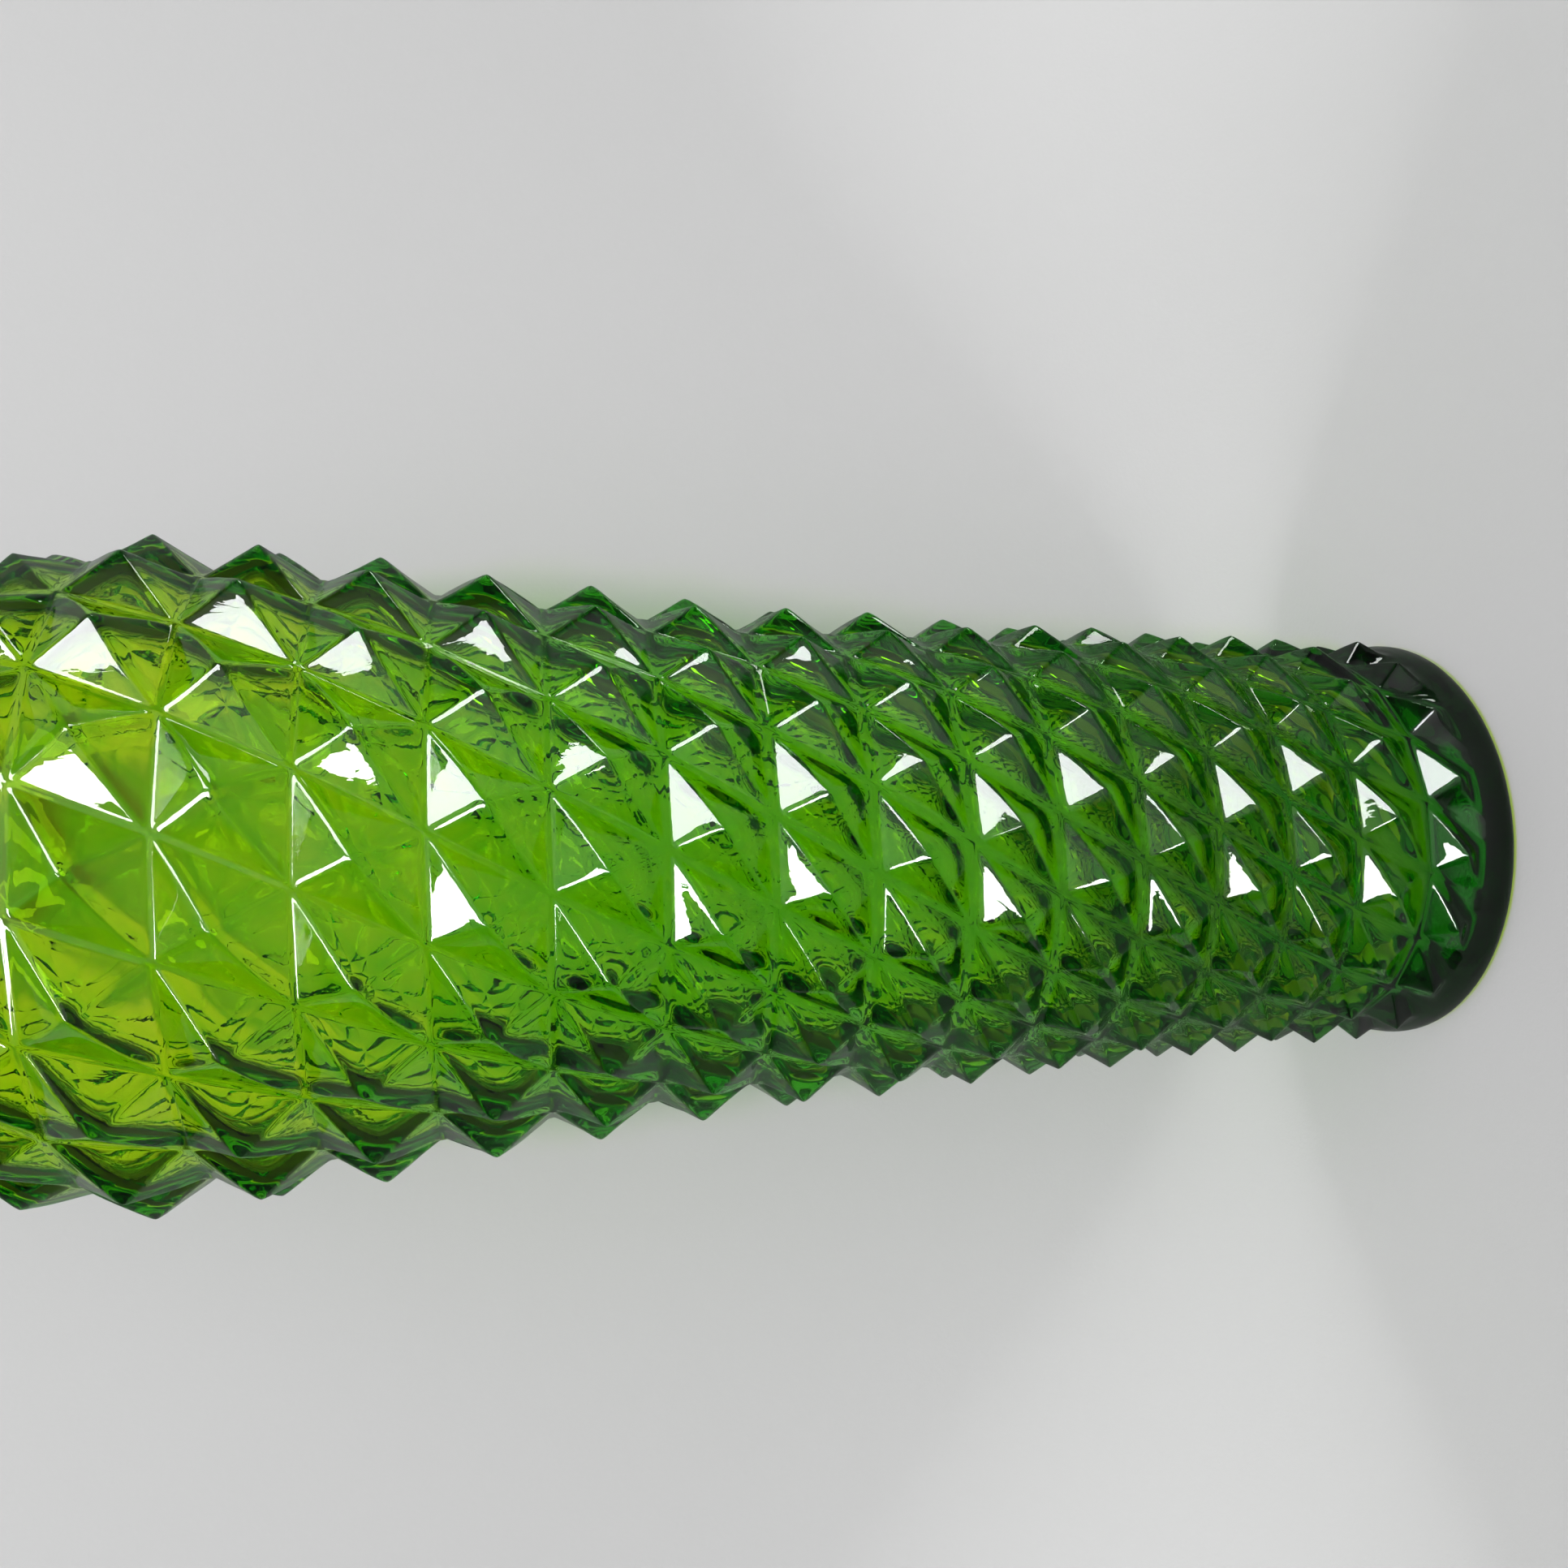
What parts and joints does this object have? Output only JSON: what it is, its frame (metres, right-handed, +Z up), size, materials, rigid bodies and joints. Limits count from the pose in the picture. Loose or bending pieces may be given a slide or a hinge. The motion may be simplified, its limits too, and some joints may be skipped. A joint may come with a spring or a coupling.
{
  "type": "glass bottle",
  "caption": "Tall green glass bottle with a diamond-point wall, a smooth heel and neck, and a hollow pointed glass stopper in a soft ribbed sleeve.",
  "frame": {"origin": "centre of the flat ring under the base that the bottle stands on", "axes": "+Z up along the axis of the bottle, from the base to the mouth and stopper; +X and +Y are level, and the picture looks along +Y at the side of the bottle"},
  "size_m": [0.128, 0.13, 0.582],
  "materials": {
    "bottle_glass": "clear fire-polished green glass with faint chill marks",
    "stopper_glass": "clear fire-polished green glass with faint chill marks",
    "sleeve": "soft milky translucent plastic"
  },
  "bodies": {
    "bottle": {"bottle_body": "bottle_glass", "bottle_shoulder": "bottle_glass", "bottle_neck": "bottle_glass"},
    "sleeve": {"stopper_sleeve": "sleeve"},
    "stopper": {"stopper": "stopper_glass"}
  },
  "joints": [
    {"name": "stopper_lift", "type": "slide", "parent": "bottle", "child": "sleeve", "axis": [0, 0, 1], "range_m": [0, 0.12]},
    {"name": "stopper_turn", "type": "hinge", "parent": "sleeve", "child": "stopper", "pos_m": [0, 0, 0.41], "axis": [0, 0, 1], "continuous": true}
  ]
}
